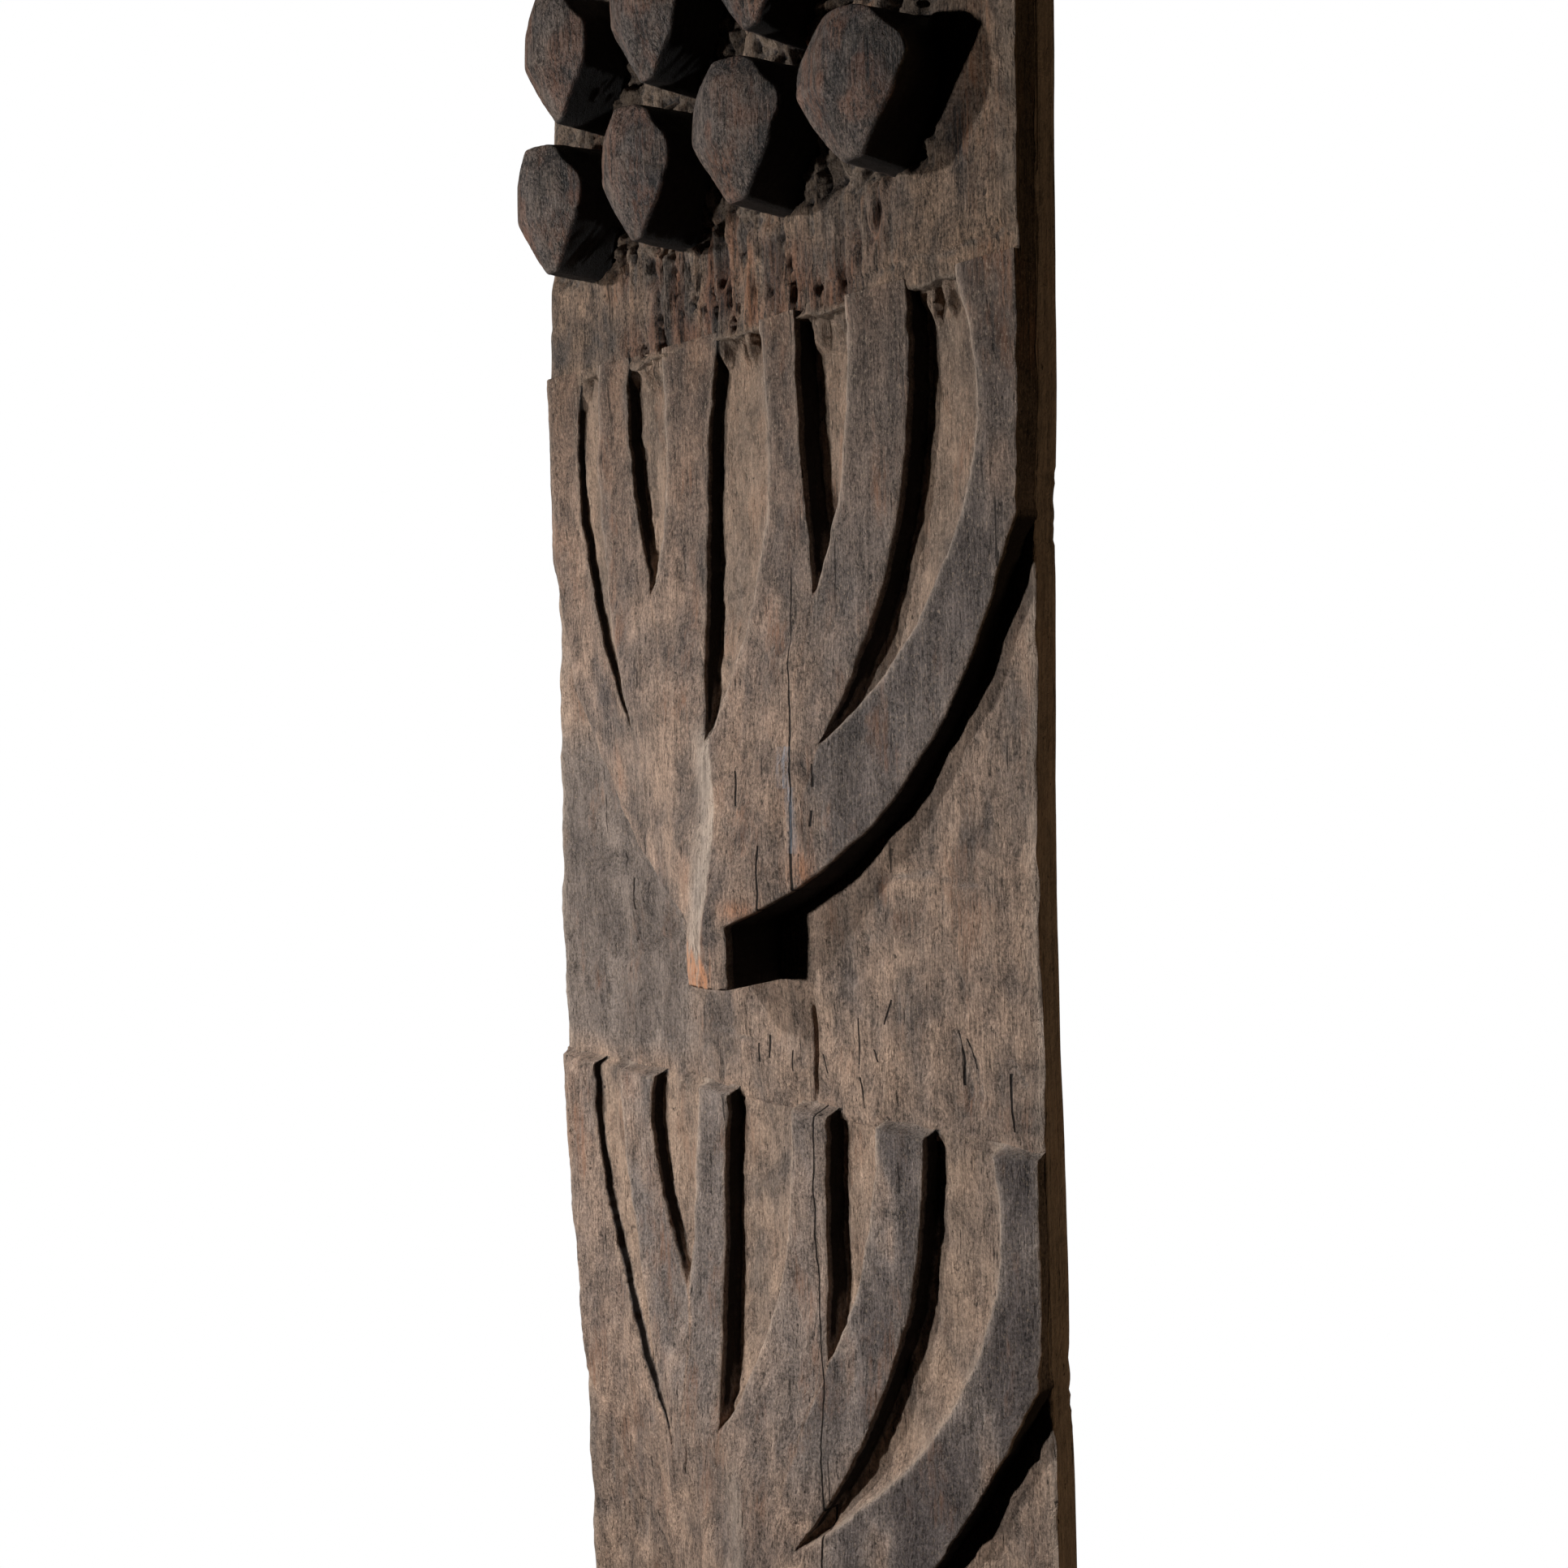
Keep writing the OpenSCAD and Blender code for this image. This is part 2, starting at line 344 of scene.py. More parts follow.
def plank_side(z, y_from, y_to, seed):
    """y, inward wear and marks of one side, from one face to the other."""
    y = y_from + (y_to - y_from) * np.linspace(0, 1, 10)[1:-1]
    dent = 0.22 * (1 + layered(z, y * 4, 40, 18, seed))
    grain = 0.25 * (1 + noise(y, z, 2.2, 70, seed + 3))
    return y, dent + grain, (np.zeros_like(y), np.ones_like(y), np.full_like(y, 0.6))


def end_caps(ring, sign):
    """Four rings that close one end of the plank, each nearer to its middle plane."""
    made = []
    middle = -0.5 * GROUND
    for t in (0.15, 0.4, 0.7, 1.0):
        flat = ring.copy()
        flat[:, 1] = ring[:, 1] + (middle - ring[:, 1]) * t
        rough = 0.5 + 0.5 * layered(flat[:, 0], flat[:, 1], 30, 10, 71)
        flat[:, 2] = sign * (HALF_HEIGHT - SKIN - 1.8 * rough)
        made.append(flat)
    return made


def make_plank(material):
    z = np.linspace(-HALF_HEIGHT + 1.2, HALF_HEIGHT - 1.2, 440)[:, None]
    left, right = left_edge(z), right_edge(z)
    x_front, h_front, front_marks = plank_front(z, left, right)
    x_back, y_back, back_marks = plank_back(z, left, right)
    y_front = -(GROUND + h_front)
    y_right, worn_right, right_marks = plank_side(z, y_front[:, -1:], y_back[:, :1], 61)
    y_left, worn_left, left_marks = plank_side(z, y_back[:, -1:], y_front[:, :1], 67)
    x = np.hstack([x_front, right - worn_right, x_back, left + worn_left])
    y = np.hstack([y_front, y_right, y_back, y_left])
    body = np.stack([x, y, np.broadcast_to(z, x.shape)], axis=-1)
    points = np.concatenate([end_caps(body[0], -1)[::-1], body, end_caps(body[-1], 1)])
    marks = []
    around = zip(front_marks, right_marks, back_marks, left_marks)
    for strips, on_ends in zip(around, (0.0, 0.6, 0.5)):
        marks.append(np.pad(np.hstack(strips), ((4, 4), (0, 0)), constant_values=on_ends))
    quads = grid_quads(points.shape[0], points.shape[1], wrap=True)
    write_mesh("plank_wood", points, quads, material, ["plank"], marks)


# ---------------- the field under the pods
def pod_places():
    """Name, middle x and middle z of each pod."""
    places = []
    for row, shift, z in POD_ROWS:
        for k in range(4):
            places.append(("pod_%s_%d" % (row, k + 1), shift + POD_PITCH * (k - 1.5), z))
    return places


def field_height(x, z):
    """The rough field: torn grain above the fan, gouged hollows round the pods.

    Also gives where it is gouged and where it is torn, from 0 to 1.
    """
    swell = 0.9 * layered(x, z, 120, 170, 83, 2)
    adze = 2.6 * (scoops(x, z, 34, 48, 85) - 0.4)
    fibre = layered(x, z, 4.4, 60, 87, 2)
    skin = 0.8 * layered(x, z, 12, 20, 81, 3) - 2.2 * splits(x, z, 9, 50, 82, 0.25)
    upper_limit = 448 + 16 * noise(x, 0, 26, 9, 86)
    torn = ease((upper_limit - z) / 20) * ease((z - FIELD_FOOT - 1) / 7)
    torn = torn * ease((x + 140) / 50) * ease((176 - x) / 50)
    torn = torn * ease(0.85 + 0.9 * noise(x, z, 46, 40, 88))
    slit = np.maximum(splits(x, z, 7.5, 90, 89, 0.6), splits(x, z, 4.5, 60, 84, 0.6))
    tear = torn * (-2.8 - 8.5 * slit + 3.6 * fibre + 1.2 * layered(x, z, 12, 26, 90, 2))
    near = np.zeros_like(x)
    for _, px, pz in pod_places():
        near = np.maximum(near, np.exp(-(((x - px) / 56) ** 2 + ((z - pz) / 66) ** 2) * 1.4))
    gouged = ease((near - 0.1) / 0.25) * ease((z - 424) / 20) * ease((668 - z) / 26)
    gouged = gouged * ease((212 - x) / 24)
    crumbs = layered(x, z, 13, 13, 91, 4)
    gouge = gouged * (-6.0 + 8.5 * crumbs + 2.6 * fibre - 5.0 * splits(x, z, 7, 50, 92, 0.35))
    ledge = -1.7 * ease((x - 96) / 8) * ease((381 + 3 * noise(x, 0, 14, 9, 93) - z) / 3)
    hole = ease((6.0 - np.abs(x - HOLE_X)) / 1.6) * ease((8.0 - np.abs(z - HOLE_Z)) / 1.6)
    plain = 1 - np.maximum(gouged, torn)
    height = FIELD_RISE - 1.0 + 0.6 * swell + plain * (0.8 * adze + skin) + tear + gouge + ledge
    return np.minimum(height, FIELD_RISE + 0.6) - 12 * hole, gouged, torn


def field_foot(x):
    """The ragged lower edge of the field."""
    slow = 3.0 * noise(x, 0, 34, 9, 95)
    return FIELD_FOOT + slow + 1.8 * noise(x, 0, 9, 9, 96) + 0.7 * noise(x, 0, 3, 9, 97)


def make_field(material):
    rows = np.concatenate([np.linspace(0, 0.72, 212), np.linspace(0.725, 1, 50)])
    top_z = HALF_HEIGHT - SKIN - 0.6
    z_mid = (FIELD_FOOT + (top_z - FIELD_FOOT) * rows)[:, None]
    left, right = along(FIELD_LEFT, z_mid), right_edge(z_mid)
    x = left + (right - left) * np.linspace(0, 1, 312)
    foot = field_foot(x)
    z = foot + (top_z - foot) * rows[:, None]
    h, gouged, torn = field_height(x, z)
    gap_right, gap_left = right - x, x - left
    h = h - 1.6 * np.exp(-gap_right / 1.6) - 2.0 * np.exp(-gap_left / 5)
    h = h - 1.2 * np.exp(-(z - foot) / 1.5) - 1.5 * np.exp(-(top_z - z) / 2.0)

    wear = np.maximum(np.exp(-gap_right / 5), 0.7 * np.exp(-(z - foot) / 4))
    # painted shade: the field's hollows lose their dust and turn near black through kind
    recess = np.clip(0.8 * gouged - cavity(h, 3, 2.0), 0, 1)
    ragged = ease(0.55 + 0.8 * noise(x, z, 9, 50, 99))
    kind = np.maximum(np.maximum(0.35 * gouged, 0.8 * torn * ragged), 0.97 * cavity(h, 3, 2.2))
    raw = torn * ease(0.3 + 0.9 * noise(x, z, 9, 40, 98)) * 0.5
    beside_hole = -(((x - HOLE_X - 10) / 7) ** 2) - ((z - HOLE_Z) / 12) ** 2
    raw = np.maximum(raw, 0.9 * np.exp(beside_hole))

    # left bevel down to the plank's own edge, right wall down into the plank
    bevel = np.array([1.0, 0.82, 0.6, 0.38, 0.18])
    x_bevel = left + (left_edge(z[:, :1]) + 1.0 - left) * bevel
    h_bevel = h[:, :1] * (1 - bevel**1.7) - 1.0 * bevel
    wall = np.array([0.12, 0.4, 0.7, 1.0, 1.25])
    h_wall = h[:, -1:] * (1 - wall)
    x_wall = right - 0.4 * (1 + layered(z[:, -1:], h_wall * 4, 40, 18, 61))
    x = np.hstack([x_bevel, x, x_wall])
    h = np.hstack([h_bevel, h, h_wall])
    z = np.pad(z, ((0, 0), (5, 5)), mode="edge")
    # lower end wall and upper end wall
    low_wall = [front(x[0], h[0] * t, z[0] - 0.3 - 0.5 * (1 - t)) for t in (-0.1, 0.3, 0.7)]
    high_wall = [front(x[-1], h[-1] * t, z[-1] + 0.4) for t in (0.8, 0.4, -0.1)]
    points = np.concatenate([low_wall, front(x, h, z), high_wall])
    marks = []
    for mark, on_sides in ((recess, (0.1, 0)), (wear, (0.3, 0.2)), (kind, (0.2, 0.6)), (raw, (0, 0))):
        mark = np.pad(mark, ((0, 0), (5, 5)), constant_values=((0, 0), on_sides))
        marks.append(np.pad(mark, ((3, 3), (0, 0)), mode="edge"))
    quads = grid_quads(points.shape[0], points.shape[1])
    write_mesh("field_wood", points, quads, material, ["field"], marks)


# ---------------- fans
def bend(a, b, c, t):
    return (1 - t) ** 2 * a + 2 * t * (1 - t) * b + t * t * c


def crease_x(depth):
    """Where the keel's sharp edge runs: it wanders a little on its way to the beak."""
    return along(((250, -20), (290, -8), (337, 2), (396, 0), (455, -8), (470, -9)), depth)


def fan_top(x, depth, rise):
    """Height of a fan's uncut surface, which rises like a keel towards the beak."""
    keel = along(((0, 0), (125, 0), (190, 5), (285, 20), (360, 33), (420, 43), (470, 43)), depth)
    off = x - crease_x(depth)
    left_roof = along(((0, 42.5), (22, 34.5), (80, 14), (150, 1), (200, 0)), -off)
    right_roof = along(((0, 42.5), (20, 38), (88, 15), (160, 1), (200, 0)), off)
    body = np.maximum(softest(keel, np.where(off < 0, left_roof, right_roof), 7.0), 0)
    slope = np.where(off < 0, 0.30 * np.maximum(off, -26), -0.17 * np.minimum(off, 24))
    gable = np.minimum(body, keel + 1.5 + slope)
    share = ease((depth - 262) / 70)
    return rise + body * (1 - share) + np.maximum(gable, 0) * share


def waver(fan, depth, k):
    """How far the k-th line of a fan strays from its smooth curve."""
    slow = 0.7 * noise(depth, k, 11, 1, fan.seed + k)
    return slow + 0.35 * noise(depth, k, 3.5, 1, fan.seed + 50 + k)


def fan_lines(fan, depth):
    """x of the two sides, and of the twelve lines between which fingers and grooves lie."""
    left = along(fan.left, depth) + waver(fan, depth, 0)
    right = along(fan.right, depth) + waver(fan, depth, 1)
    right = np.where(depth < 150, np.minimum(right, right_edge(fan.top - depth)), right)
    lines = [left]
    for k, groove in enumerate(fan.grooves):
        t = np.clip(depth / groove.length, 0, 1)
        edge_l = bend(groove.left, groove.bend_left, groove.end - 0.4, t)
        edge_r = bend(groove.right, groove.bend_right, groove.end + 0.4, t)
        edge_l = edge_l + waver(fan, depth, 2 * k + 2)
        edge_r = edge_r + waver(fan, depth, 2 * k + 3)
        beyond = left + fan.shares[k] * (right - left)
        shift = groove.end - np.interp(groove.length, depth[:, 0], beyond[:, 0])
        beyond = beyond + shift * np.exp(-np.clip(depth - groove.length, 0, None) / 50)
        ended = depth >= groove.length
        lines.append(np.where(ended, beyond - 0.3, np.minimum(edge_l, edge_r - 0.6)))
        lines.append(np.where(ended, beyond + 0.3, edge_r))
    lines.append(right)
    for k in range(1, len(lines)):
        lines[k] = np.maximum(lines[k], lines[k - 1] + 0.6)
    for k in range(len(lines) - 2, -1, -1):
        lines[k] = np.minimum(lines[k], lines[k + 1] - 0.6)
    return left, right, lines


def uncut(fan, x, depth, finger):
    """Height of a fan's surface before its grooves are cut, next to the given finger."""
    seed = fan.seed
    h = fan_top(x, np.broadcast_to(depth, x.shape), along(fan.rises, depth))
    h = h + 0.9 * noise(x, depth, 26, 90, seed + 5) + 0.5 * noise(x, depth, 9, 60, seed + 6)
    h = h + 2.6 * (scoops(x, depth, 26, 60, seed + 7) - 0.25)
    h = h + 0.7 * layered(x, depth, 10, 18, seed + 12, 3)
    h = h - 1.8 * splits(x, depth, 9, 60, seed + 13, 0.2)
    lean = 0.8 * math.sin(finger * 2.4) * ease((160 - depth) / 60)
    if not fan.open_ends:
        return h + lean
    if finger == 5:  # the last low finger dies into the plank's edge
        lean = lean - 6 * ease((x - 200) / 50) * ease((190 - depth) / 80)
    return h + lean


def end_slope(fan, x, depth):
    """Height of the slope at the open ends of the fingers."""
    return 0.3 + 4.2 * np.clip(depth - 0.9 * (1 + noise(x, 0, 9, 9, fan.seed + 8)), 0, 99)


def finger_strip(fan, k, a, b, depth):
    """x, height, recess, wear and kind of the k-th finger, between the lines a and b; wear holds painted
    highlight.
    """
    t = np.linspace(0, 1, max(10, int(np.max(b - a) / 2.1)))
    t = 0.6 * t + 0.4 * (0.5 - 0.5 * np.cos(np.pi * t))
    inset = np.minimum(0.35, 0.2 * (b - a))
    x = a + inset + (b - a - 2 * inset) * t
    gap = np.minimum(x - a, b - x)
    cut_l, cut_r = np.ones_like(depth), np.ones_like(depth)
    if k > 0:
        cut_l = ease((fan.grooves[k - 1].length - depth) / 16)
    if k < 5:
        cut_r = ease((fan.grooves[k].length - depth) / 16)
    cut = np.where(x - a < b - x, cut_l, cut_r)
    h = uncut(fan, x, depth, k) - 1.9 * cut * np.exp(-gap / 1.3)
    # painted highlight: pale along the finger's left edge, which faces the lamps, and on its open end;
    # also paler along its right edge
    lit_edge = 1.2 * np.exp(-(x - a) / 2.6) if k else 0.7 * np.exp(-(x - a) / 2.2)
    lit_edge = lit_edge * cut_l + 0.6 * cut_r * np.exp(-(b - x) / 2.0)
    if fan.open_ends:
        h = np.minimum(h, end_slope(fan, x, depth))
        lit_edge = lit_edge + 0.7 * np.exp(-depth / 1.8)
    fade = ease((320 - depth) / 130)
    if k == 5:  # the last finger stays dark all the way to the beak
        fade = ease((450 - depth) / 60) * ease((x - 50) / 50)
    blotch = ease(0.8 + 0.5 * layered(x, depth, 30, 60, fan.seed + 14, 3))
    shade = 0.8 * fan.dark[k] * fade * ease((gap + 1) / 4) * blotch
    shade = shade * (1 - 0.8 * np.clip(lit_edge, 0, 1))
    return x, h, 0.12 * (1 - cut), lit_edge, shade


def groove_strip(fan, k, a, b, depth):
    """x, height, recess, wear and kind of the k-th groove, between the lines a and b; kind holds a
    painted shadow on the floor.
    """
    seed, length, cut_depth, line = fan.seed, fan.grooves[k].length, fan.cuts[k], 2 * k + 1
    t = np.linspace(0, 1, max(8, int(np.max(b - a) / 2.2)))
    x = a + (b - a) * (0.02 + 0.96 * t)
    top = uncut(fan, x, depth, k + 1)
    if fan.open_ends:
        top = np.minimum(top, end_slope(fan, x, depth))
    floor = np.clip(top - cut_depth, fan.low_floor, 99)
    floor = floor + 0.9 * noise(x, depth, 7, 40, seed + 9) + 0.5 * layered(x, depth, 4, 9, seed + 10)
    floor = floor + 1.0 * np.exp(-np.minimum(x - a, b - x) / 1.5)
    # frayed wood where the groove closes
    ragged = 9 * noise(0, depth, 9, 9, seed + 20 + line) + 12 * noise(line, 0, 1, 1, seed + 21)
    closing = ease((depth - length + 58 + ragged) / 62)
    floor = floor + closing * (5.0 + 2.6 * layered(x, depth, 3.8, 26, seed + 22, 2))
    if fan.open_ends:
        inside = ease((depth + 2) / 9)
        floor = floor * inside + (1 - inside) * 0.3
    else:  # torn wood left standing at the top of each groove
        stump = ease((12 + 16 * noise(x, line, 3.2, 1, seed + 23) - depth) / 14)
        floor = floor + stump * (7.5 + 3.0 * noise(x, depth, 3.4, 30, seed + 24))
    scoop = np.clip((t - 0.42) / 0.58, 0, 1) ** 1.7 * fan.scooped * ease((depth + 4) / 40)
    floor = np.minimum(floor, top)
    floor = floor + (top - floor) * scoop
    cut = ease((length - depth) / 14)
    h = top * (1 - cut) + floor * cut
    # painted shadow: the floor next to the groove's shaded left wall turns near black
    painted_floor_shadow = cut * ease((0.32 * cut_depth - (x - a)) / 2.0) * ease((length - 20 - depth) / 30)
    return x, h, cut * (0.7 - 0.7 * scoop), 0.9 * cut * ease((t - 0.8) / 0.2), 0.98 * painted_floor_shadow


def with_walls(fan, strips, depth):
    """The strips, with two columns of wall between each finger and the groove beside it."""
    joined = [strips[0]]
    for k in range(1, len(strips)):
        x_a, h_a = (part[:, -1:] for part in strips[k - 1][:2])
        x_b, h_b = (part[:, :1] for part in strips[k][:2])
        still_open = ease((fan.grooves[(k - 1) // 2].length - 6 - depth) / 14)
        faces_left = float(k % 2 == 0)  # these walls face the lamps and get a painted highlight, the others get painted shade, near black
        for t in (0.33, 0.66):
            bump = 0.3 * noise(depth, t, 6, 1, fan.seed + 90 + k)
            x, h = x_a + (x_b - x_a) * (t + bump), h_a + (h_b - h_a) * t
            wear, kind = 0.8 * faces_left * still_open, (1 - faces_left) * still_open
            joined.append((x, h, np.zeros_like(x), wear, kind))
        joined.append(strips[k])
    return joined


def left_flank(fan, depth, left, height):
    """The left side: a worn bevel while the fan meets the plank's edge, then a steep wall."""
    bevelled = 1 - ease((depth - 138) / 40)
    foot = bevelled * (left_edge(fan.top - depth) + 1.0) + (1 - bevelled) * (left - 1.3)
    t = np.array([1.12, 1.0, 0.8, 0.58, 0.36, 0.16])
    x = left + (foot - left) * np.minimum(t, 1)
    drop = 1 - np.clip(t, 0, 1) ** (1.0 + 0.8 * bevelled)
    h = height * drop - np.where(t > 1, 3.0, 0.0) - 0.6 * t * bevelled
    return x, h, np.full_like(x, 0.1), np.full_like(x, 0.15), np.zeros_like(x)


def right_flank(fan, depth, right, height):
    """The right side: flush with the plank's edge at first, then a steep wall of its own, painted near
    black as shade.
    """
    z = fan.top - depth
    joins_edge = 1 - ease((depth - 146) / 8)
    foot = joins_edge * right_edge(z) + (1 - joins_edge) * (right + 1.3)
    t = np.array([0.12, 0.4, 0.7, 1.0, 1.12])
    x = right + (foot - right) * np.minimum(t, 1)
    h = height * (1 - np.minimum(t, 1)) - np.where(t > 1, 3.0, 0.0)
    x = x - 0.4 * (1 + layered(z, h * 4, 40, 18, 61)) * joins_edge
    # painted shade: the steep right wall turns near black
    kind = np.broadcast_to(1 - 0.4 * joins_edge, x.shape)
    return x, h, np.zeros_like(x), np.full_like(x, 0.1), kind


def keel_wear_and_highlight(fan, x, depth):
    """The pale facet left of the keel's edge, and the slope beyond it: partly worn wood, partly painted
    highlight where they face the lamps.
    """
    off = x - crease_x(depth)
    strip = ease((depth - 265) / 30) * ease(-off / 2.5) * ease((off + 36) / 30)
    slope = 0.08 * ease((depth - 230) / 60) * ease((-off - 14) / 20) * ease((off + 190) / 60)
    return np.maximum(fan.strip * strip, slope)


def fresh_wood(fan, x, depth):
    """Orange wood where the beak's end and two places beside it are freshly chipped."""
    fray = 9 * noise(x, 0, 2.6, 9, fan.seed + 30) + 5 * noise(x, depth, 6, 12, fan.seed + 31)
    fresh = ease((depth - 438 + fray) / 12) * ease((4 - x) / 5)
    high_chip = np.exp(-(((x - 78) / 9) ** 2) - ((depth - 378) / 16) ** 2)
    low_chip = np.exp(-(((x - 28) / 14) ** 2) - ((depth - 408) / 7) ** 2)
    return np.maximum(np.maximum(fresh, 0.8 * high_chip), 0.7 * low_chip)


def square_end(fan, points, marks):
    """Adds the beak's squared end, cut across the grain."""
    last = points[-1]
    deep = -(GROUND - 3.0)
    rings = []
    for t in (0.04, 0.35, 0.7, 1.0):
        ring = last.copy()
        ring[:, 1] = last[:, 1] + (deep - last[:, 1]) * t
        ring[:, 2] = last[:, 2] + 0.8 - 0.8 * min(t * 6, 1) + 0.5 * noise(last[:, 0], t, 4, 1, fan.seed)
        rings.append(ring)
    marks = [np.pad(mark, ((0, 4), (0, 0)), mode="edge") for mark in marks]
    return np.concatenate([points, rings]), marks


def buried_ends(points, marks):
    """Adds a row just under the ground, beyond the open ends of the fingers."""
    first = points[0].copy()
    first[:, 1] = -(GROUND - 4.0)
    first[:, 2] += 1.5
    marks = [np.pad(mark, ((1, 0), (0, 0)), mode="edge") for mark in marks]
    return np.concatenate([first[None], points]), marks


def make_fan(fan, material):
    depth = np.arange(fan.start, FAN_END + FAN_STEP, FAN_STEP)[:, None]
    depth[-1] = FAN_END - SKIN
    left, right, lines = fan_lines(fan, depth)
    strips = []
    for k in range(11):
        strip = groove_strip if k % 2 else finger_strip
        strips.append(strip(fan, k // 2, lines[k], lines[k + 1], depth))
    first, last = strips[0][1][:, :1], strips[-1][1][:, -1:]
    strips = [left_flank(fan, depth, left, first)] + with_walls(fan, strips, depth)
    strips.append(right_flank(fan, depth, right, last))
    x, h, recess, wear, kind = (np.hstack(part) for part in zip(*strips))
    split = int(np.searchsorted(depth[:, 0], FAN_LENGTH + 1))
    depth = np.broadcast_to(depth, x.shape)
    wear = np.maximum(0.8 * wear, keel_wear_and_highlight(fan, x, depth))
    points = front(x, h, fan.top - depth)
    marks = [recess, wear, kind, fresh_wood(fan, x, depth)]
    relief = points[: split + 1], [mark[: split + 1] for mark in marks]
    if fan.open_ends:
        relief = buried_ends(*relief)
    beak = square_end(fan, points[split:], [mark[split:] for mark in marks])
    for kind, tail, (points, marks) in (("fan", "relief", relief), ("beak", "end", beak)):
        node = "%s_%s" % (kind, fan.name)
        name = "%s_%s" % (node, tail)
        quads = grid_quads(points.shape[0], points.shape[1])[:, ::-1]
        write_mesh(name, points, quads, material, [node], marks)


# ---------------- pods
# Right half of a pod's outline: x and z from its middle.
POD_OUTLINE = ((9, 50), (22, 42), (31, 29), (35, 14), (34.5, 1), (29, -14), (17, -33), (4, -50))
EDGE_POWER = 90.0


def pod_planes(rng, ridge):
    """Knife-cut planes of one pod, as (nx, nz, nh, distance), seen from its base's middle."""
    planes = [(0, 1, 0.12, 50.5), (0, -1, 0.0, 49.0)]
    for (x0, z0), (x1, z1) in zip(POD_OUTLINE[:-1], POD_OUTLINE[1:]):
        nx, nz = z0 - z1, x1 - x0
        size = math.hypot(nx, nz)
        far = (nx * x0 + nz * z0) / size
        lean = 0.10 if z0 > 30 else -0.03
        for side in (1, -1):
            planes.append((side * nx / size, nz / size, lean, far + 18 * max(lean, 0)))
    planes += [
        (-0.5, 0.03, 0.866, 56.5), (-0.17 + ridge, 0.02, 0.985, 58.8),
        (0.24 + ridge, 0.02, 0.97, 58.0), (0.40, 0.0, 0.917, 56.4), (0.66, 0.0, 0.751, 53.5),
        (-0.06 + ridge, -0.36, 0.92, 57.5), (-0.5, -0.36, 0.79, 53.5),
        (0.36, -0.34, 0.87, 56.0), (0.62, -0.34, 0.71, 52.5), (0.05, 0.33, 0.94, 65.0),
        (-0.46, 0.3, 0.83, 60.5), (0.38, 0.3, 0.87, 60.5),
    ]
    made = []
    for nx, nz, nh, far in planes:
        n = np.array([nx, nz, nh]) + rng.uniform(-0.035, 0.035, 3) * np.array([1, 1, 0.6])
        length = np.linalg.norm(n)
        made.append((*(n / length), far + rng.uniform(-1.0, 0.5)))
    return np.array(made)


def make_pod(name, px, pz, seed, material):
    """One pod, as rays from a point inside it out to its nearest knife-cut plane."""
    rng = np.random.default_rng(seed)
    size_x = rng.uniform(0.97, 1.0) * POD_WIDTHS.get(name, 1.0)
    size_z = rng.uniform(0.96, 1.0)
    planes = pod_planes(rng, rng.uniform(-0.05, 0.06))
    around, rings = 150, 58
    phi = np.linspace(0, 2 * np.pi, around, endpoint=False)
    # from just past the pole to below the base
    theta = np.radians(np.concatenate([[0.25], np.linspace(2.2, 122, rings)]))
    tt, pp = np.meshgrid(theta, phi, indexing="ij")
    ray = np.stack([np.sin(tt) * np.cos(pp), np.sin(tt) * np.sin(pp), np.cos(tt)], axis=-1)
    middle = np.array([0.0, 2.0, 18.0])
    normal, far = planes[:, :3], planes[:, 3]
    facing = ray @ normal.T
    reach = (far - normal @ middle) / np.maximum(facing, 0.02)
    # a high power blends the nearest planes over a narrow, worn edge
    pull = reach**-EDGE_POWER
    t = np.sum(pull, axis=-1) ** (-1 / EDGE_POWER)
    # 1 on the planes of the lower end and of the right side, 0 on the others: these get painted shade,
    # near black
    away = (pull[..., 2:16:2].sum(axis=-1) + pull[..., 1]) / pull.sum(axis=-1)
    second = np.sort(reach, axis=-1)[..., 1] / np.min(reach, axis=-1)
    p = middle + ray * t[..., None]
    # knife marks, grain ridges and small losses
    x, z, h = p[..., 0], p[..., 1], p[..., 2]
    grain = 0.28 * noise(x + h, z, 2.6, 34, seed + 1) + 0.5 * noise(x + 0.7 * h, z, 9, 26, seed + 2)
    dents = -0.9 * np.clip(layered(x + h, z - h, 13, 16, seed + 3) - 0.55, 0, 1)
    cuts = -0.5 * scoops(x + 0.6 * h, z, 15, 24, seed + 4)
    p = p + ray * (grain * 0.7 + dents + cuts)[..., None]
    p = p * np.array([size_x, size_z, 1.0])
    p[..., 2] = np.minimum(p[..., 2], POD_RISE - 0.3)
    wear = np.clip(1 - (second - 1) / 0.03, 0, 1) ** 2 * ease((h - 20) / 20)
    tip = ease((-z - 36) / 12) * ease((h - 10) / 20)
    recess = 0.1 * (1 - ease((h - 2) / 12))
    points = front(px + p[..., 0], FIELD_RISE + p[..., 2], pz + p[..., 1])
    quads = grid_quads(points.shape[0], points.shape[1], wrap=True)
    # close the front pole with quads that fold across the tiny first ring
    pole = [[k, k + 1, around - 2 - k, around - 1 - k] for k in range(around // 2 - 1)]
    quads = np.concatenate([quads, np.array(pole)])
    kind = 0.62 * np.clip(0.5 + 0.35 * noise(x, z, 22, 34, seed + 6), 0, 1) - 0.1
    ripple = np.clip(0.5 + noise(x, z, 8, 12, seed + 8), 0, 1)
    rubbed = np.maximum(0.8 * wear * ripple, 0.45 * tip)
    # painted shade: the lower end and the right flank turn near black; the pod also darkens towards its
    # base
    kind = np.maximum(np.maximum(kind, 0.8 * ease((40 - h) / 12)), away * ease((54 - h) / 9))
    rusty = 0.3 * ease((noise(x + 0.5 * h, z, 11, 22, seed + 12) - 0.1) / 0.5)
    marks = [recess, rubbed, kind, rusty * ease((h - 25) / 12)]
    write_mesh(name + "_carved", points, quads, material, [name], marks)


